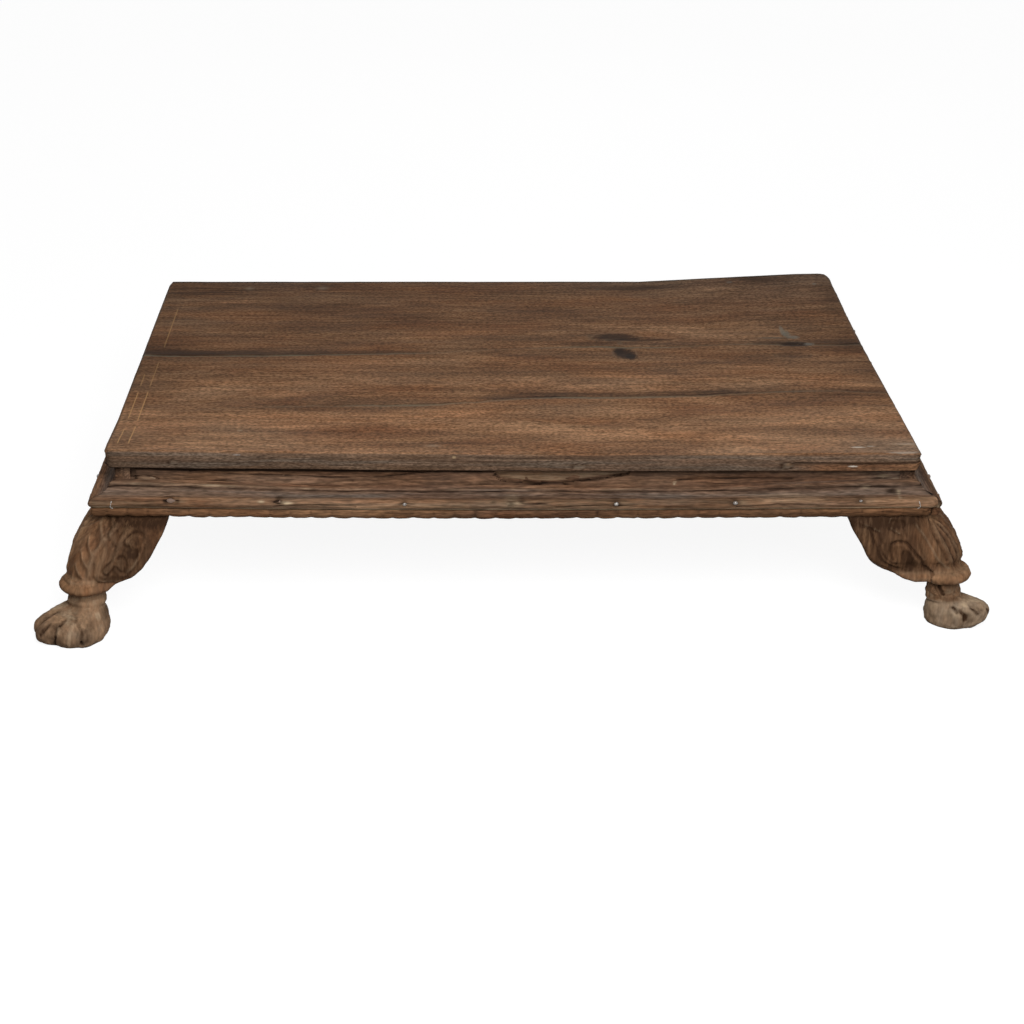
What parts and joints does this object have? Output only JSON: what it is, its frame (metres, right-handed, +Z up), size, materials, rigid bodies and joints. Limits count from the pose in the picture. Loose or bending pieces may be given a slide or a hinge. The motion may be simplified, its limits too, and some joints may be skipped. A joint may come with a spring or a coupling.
{
  "type": "low table",
  "caption": "Low rectangular hardwood table: a thick plank top on a moulded rail frame with a petal edging, standing on carved lion-paw legs.",
  "frame": {"origin": "on the floor under the middle of the rail frame", "axes": "+X to the right along the table's length, +Y from the front edge to the back, +Z up"},
  "size_m": [0.7124, 0.5092, 0.145],
  "materials": {
    "aged_top": "worn, dry, grain along the length",
    "aged_frame": "worn, dry, grey on the edges",
    "petal_wood": "reddish brown, worn",
    "leg_wood": "carved, rubbed pale on the paws",
    "hidden_wood": "raw, sawn",
    "peg_wood": "pale end grain",
    "iron": "hand-forged, rusty",
    "wire": "bare wire"
  },
  "bodies": {
    "root": {"batten_left": "hidden_wood", "batten_nails_left": "iron", "batten_nails_right": "iron", "batten_right": "hidden_wood", "frieze_patch": "peg_wood", "leg_back_left": "leg_wood", "leg_back_right": "leg_wood", "leg_front_left": "leg_wood", "leg_front_right": "leg_wood", "moulding_back": "aged_frame", "moulding_front": "aged_frame", "moulding_left": "aged_frame", "moulding_nails_back": "iron", "moulding_nails_front": "iron", "moulding_nails_left": "iron", "moulding_nails_right": "iron", "moulding_right": "aged_frame", "petal_strip_back": "petal_wood", "petal_strip_front": "petal_wood", "petal_strip_left": "petal_wood", "petal_strip_right": "petal_wood", "post_pegs_back": "peg_wood", "post_pegs_front": "peg_wood", "post_pegs_left": "peg_wood", "post_pegs_right": "peg_wood", "rail_back": "aged_frame", "rail_front": "aged_frame", "rail_left": "aged_frame", "rail_right": "aged_frame", "strip_brads_back": "wire", "strip_brads_front": "wire", "strip_brads_left": "wire", "strip_brads_right": "wire", "top_board": "aged_top", "top_dowels": "peg_wood"}
  },
  "joints": []
}
